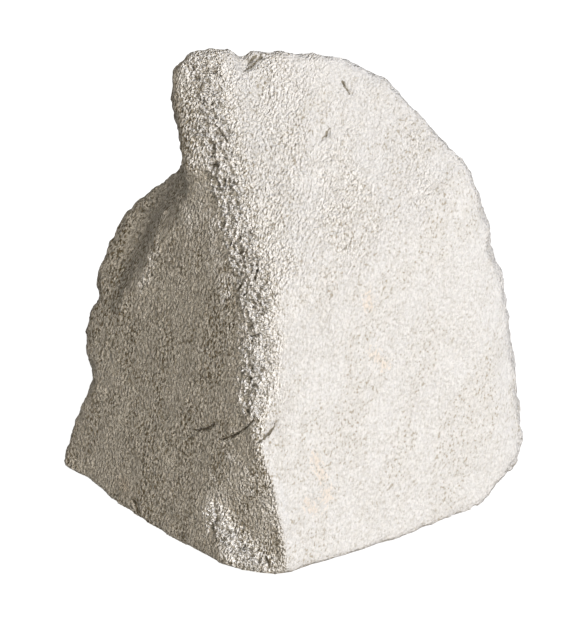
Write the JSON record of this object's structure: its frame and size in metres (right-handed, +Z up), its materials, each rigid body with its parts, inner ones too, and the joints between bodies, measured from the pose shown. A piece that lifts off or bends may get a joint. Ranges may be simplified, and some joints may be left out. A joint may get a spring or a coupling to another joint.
{
  "type": "gypsum fragment",
  "caption": "Broken lump of massive gypsum with a broad fracture face, a darker side face, a ridge between them and a small flat spot to rest on.",
  "frame": {"origin": "centre of the bounding box in plan, at the level of the flat resting spot", "axes": "+Z up from the resting spot; -Y towards the ridge between the two large fracture faces; +X to the right seen from -Y"},
  "size_m": [0.1122, 0.0958, 0.103],
  "materials": {
    "gypsum": "matt, fine-grained broken surface"
  },
  "bodies": {
    "root": {"gypsum_fragment": "gypsum"}
  },
  "joints": []
}
